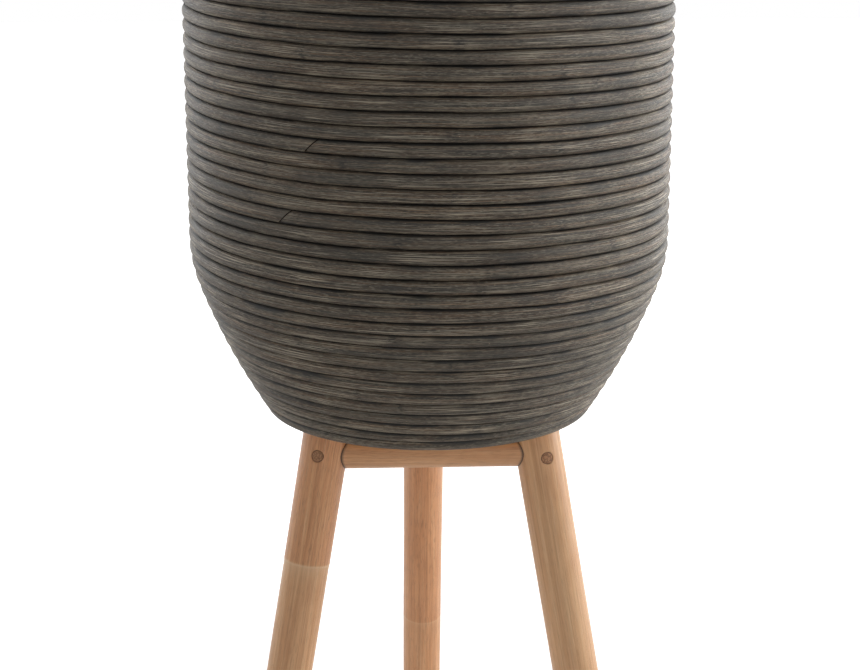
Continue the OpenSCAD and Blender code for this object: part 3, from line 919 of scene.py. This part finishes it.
def plugEndGrain():  # dowel end grain, darker than the cane, with drying cracks and a dark rim of glue
    material, add, shader = newMaterial("plugEndGrain")
    straight = add("Attribute", attribute_name="straight").outputs["Vector"]
    flatAt = add("VectorMath", {0: straight, 1: (1, 1, 0)}, operation="MULTIPLY")
    radius = add("VectorMath", {0: flatAt}, operation="LENGTH").outputs["Value"]
    spread = add("VectorMath", {0: straight, "Scale": 1 / (0.5 * mm)}, operation="SCALE")
    pore = add("TexNoise", {"Vector": spread, "Scale": 1.0, "Detail": 3.0})
    crackAt = add("VectorMath", {0: straight, 1: (1 / (2.6 * mm), 1 / (2.6 * mm), 1)}, operation="MULTIPLY")
    crack = add("TexVoronoi", {"Vector": crackAt, "Scale": 1.0}, feature="DISTANCE_TO_EDGE")
    patch = add("TexNoise", {"Vector": crackAt, "Scale": 0.7, "Detail": 1.0})
    glued = add("MapRange", {0: patch, 1: 0.4, 2: 0.58, 3: 0.35, 4: 1.0})
    colour = add("ValToRGB", {0: pore}, stops=[(0.3, "#85593d"), (0.55, "#b3845f"), (0.75, "#cda27b")])
    colour = paintOver(add, colour, (
        (crack.outputs["Distance"], 0.12, 0.02, 0.6, "#53382a"),
        (radius, 3.9 * mm, 4.8 * mm, 0.85, "#53382a", glued),
    ))
    cover(add, shader, colour, 0.7, pore, 0.6, 0.2 * mm)
    return material


def splitCane():  # rib split from a cane, flat side in: pale fibres in lines under a thin stain
    material, add, shader = newMaterial("splitCane")
    stops = [(0.3, "#4a4238"), (0.5, "#73675a"), (0.7, "#978a78")]
    fibre, colour = objectGrain(add, (1.5 * mm, 1.5 * mm, 60 * mm), 3.0, stops)
    cover(add, shader, colour, 0.7, fibre, 0.5, 0.3 * mm)
    return material


def birchPlywood():  # pale rotary-cut face and dark glue lines at the edge
    material, add, shader = newMaterial("birchPlywood")
    stops = [(0.3, "#b68f63"), (0.5, "#c9a578"), (0.7, "#d9bb90")]
    grain, colour = objectGrain(add, (4 * mm, 60 * mm, 4 * mm), 4.0, stops, 0.6)
    height = add("SeparateXYZ", {0: add("TexCoord").outputs["Object"]}).outputs["Z"]
    ply = add("Math", {0: height, 1: 1.5 * mm}, operation="PINGPONG")
    level = add("SeparateXYZ", {0: add("NewGeometry").outputs["Normal"]}).outputs["Z"]
    steep = add("Math", {0: level}, operation="ABSOLUTE")
    edge = add("Math", {0: 1.0, 1: steep}, operation="SUBTRACT")
    colour = paintOver(add, colour, [(ply, 0.12 * mm, 0.0, 0.7, "#6a4a2e", edge)])
    cover(add, shader, colour, 0.62, grain, 0.3, 0.2 * mm)
    return material


# Injection moulded inner pot: near black and low in sheen. Its spark-eroded grain is drawn coarser
# than it is, so that it shows
def mouldedPolypropylene():
    material, add, shader = newMaterial("mouldedPolypropylene")
    grain, colour = objectGrain(add, [0.8 * mm] * 3, 2.0, [(0.35, "#31302d"), (0.65, "#3d3b37")])
    cover(add, shader, colour, 0.5, grain, 0.35, 0.1 * mm)
    return material


def zincPlatedSteel():  # screws: bright zinc, a little uneven from the plating drum
    material, add, shader = newMaterial("zincPlatedSteel")
    cloud, colour = objectGrain(add, [1.2 * mm] * 3, 3.0, [(0.3, "#a9adb1"), (0.7, "#c6c9cb")])
    rough = add("MapRange", {0: cloud, 1: 0.3, 2: 0.7, 3: 0.28, 4: 0.42})
    feed(shader, {"Base Color": colour, "Metallic": 1.0, "Roughness": rough})
    return material


def stainedSteel():  # brad heads: blued wire, dulled by the stain brushed over them
    material, add, shader = newMaterial("stainedSteel")
    _, colour = objectGrain(add, [0.6 * mm] * 3, 2.0, [(0.35, "#12110f"), (0.7, "#2a2723")])
    feed(shader, {"Base Color": colour, "Metallic": 0.4, "Roughness": 0.55})
    return material


def dressNodes(materials):  # CAD nodes whose own shape is right
    for name, material in materials.items():
        node = nodes[name]
        node.data.materials.clear()
        node.data.materials.append(material)


# Camera, floor and light
camera = {
    "azimuth": math.radians(-2.5),
    "distance": 1.584,
    "height": 0.822,
    "pitchDown": math.radians(15.2),
    "focalPixels": 1976,
    "frameWidth": 860,
    "axisPixelX": 428.8,
}


def makeCamera():
    data = bpy.data.cameras.new("camera")
    data.sensor_width = 36
    data.lens = camera["focalPixels"] * data.sensor_width / camera["frameWidth"]
    data.shift_x = (camera["frameWidth"] / 2 - camera["axisPixelX"]) / camera["frameWidth"]
    view = addObject("camera", data)
    azimuth, distance = camera["azimuth"], camera["distance"]
    view.location = (distance * math.sin(azimuth), -distance * math.cos(azimuth), camera["height"])
    view.rotation_euler = (math.pi / 2 - camera["pitchDown"], 0, azimuth)
    bpy.context.scene.camera = view


floor = {"reach": 6, "nearGlow": 0.35, "glowFrom": 0.35, "glowTo": 1.1}


def makeFloor():  # it glows in the camera's eye alone, and fully only away from the legs
    reach = floor["reach"]
    mesh = bpy.data.meshes.new("floor")
    corners = [(x * reach, y * reach, 0) for x, y in ((-1, -1), (1, -1), (1, 1), (-1, 1))]
    mesh.from_pydata(corners, [], [(0, 1, 2, 3)])
    material, add, shader = newMaterial("paleFloor")
    feed(shader, {"Base Color": linear("#f2f2f1"), "Roughness": 0.9})
    away = add("VectorMath", {0: add("TexCoord").outputs["Object"]}, operation="LENGTH").outputs["Value"]
    amount = add("MapRange", {0: away, 1: floor["glowFrom"], 2: floor["glowTo"], 3: floor["nearGlow"]})
    seen = add("LightPath").outputs["Is Camera Ray"]
    strength = add("Math", {0: amount, 1: seen}, operation="MULTIPLY")
    glow = add("Emission", {"Color": linear("#ffffff"), "Strength": strength})
    both = add("AddShader", {0: shader, 1: glow})
    feed(material.node_tree.nodes["Material Output"], {"Surface": both})
    mesh.materials.append(material)
    addObject("floor", mesh)


sky = {"around": 0.2, "mirrored": 0.7}

lamps = {
    "keyRight": {"at": (1.8, 0.15, 1.0), "size": (1.2, 2.0), "power": 32.5},
    "fillLeft": {"at": (-1.8, 0.5, 1.15), "size": (1.2, 1.8), "power": 10.4},
    "rimRight": {"at": (1.3, 1.5, 0.8), "size": (0.6, 1.6), "power": 13.5},
    "rimLeft": {"at": (-1.3, 1.5, 0.8), "size": (0.6, 1.6), "power": 12},
    "front": {"at": (0.3, -2.6, 1.5), "size": (1.6, 1.2), "power": 7},
    "top": {"at": (0.3, 0.2, 2.4), "size": (1.8, 1.8), "power": 7},
}
lampTarget = Vector((0, 0, 0.5))


def makeLight():
    world = bpy.data.worlds.new("studio")
    bpy.context.scene.world = world
    world.use_nodes = True
    add = partial(addNode, world.node_tree)
    path = add("LightPath")
    glossy = add("Math", {0: path.outputs["Is Glossy Ray"], 1: sky["mirrored"], 2: sky["around"]},
                 operation="MULTIPLY_ADD")
    strength = add("Math", {0: glossy, 1: path.outputs["Is Camera Ray"]}, operation="MAXIMUM")
    feed(world.node_tree.nodes["Background"], {"Color": linear("#ffffff"), "Strength": strength})
    for name, lamp in lamps.items():
        data = bpy.data.lights.new(name, "AREA")
        data.shape = "RECTANGLE"
        data.size, data.size_y = lamp["size"]
        data.energy = lamp["power"]
        light = addObject(name, data)
        light.location = lamp["at"]
        light.rotation_euler = (lampTarget - Vector(lamp["at"])).to_track_quat("-Z", "Y").to_euler()


makeCamera()
bpy.context.scene.view_settings.view_transform = "Standard"
makeFloor()
makeLight()
print("camera, floor and light made")

wallLine = makeWallLine()
pitch = windPoles(wallLine, washedRattan())
pinCourses(wallLine, pitch, stainedSteel())
bpy.data.objects.remove(wallLine)

cane = peeledCane()
makeLegs(cane)
makeRails(cane)
makePlugs(plugEndGrain())

zinc, rib = zincPlatedSteel(), splitCane()
dressNodes({
    "rail_screws": zinc, "base_screws": zinc,
    "base_board": birchPlywood(), "liner": mouldedPolypropylene(),
} | {f"rib_{k + 1}": rib for k in range(brads["ribs"])})
print("CAD nodes dressed")
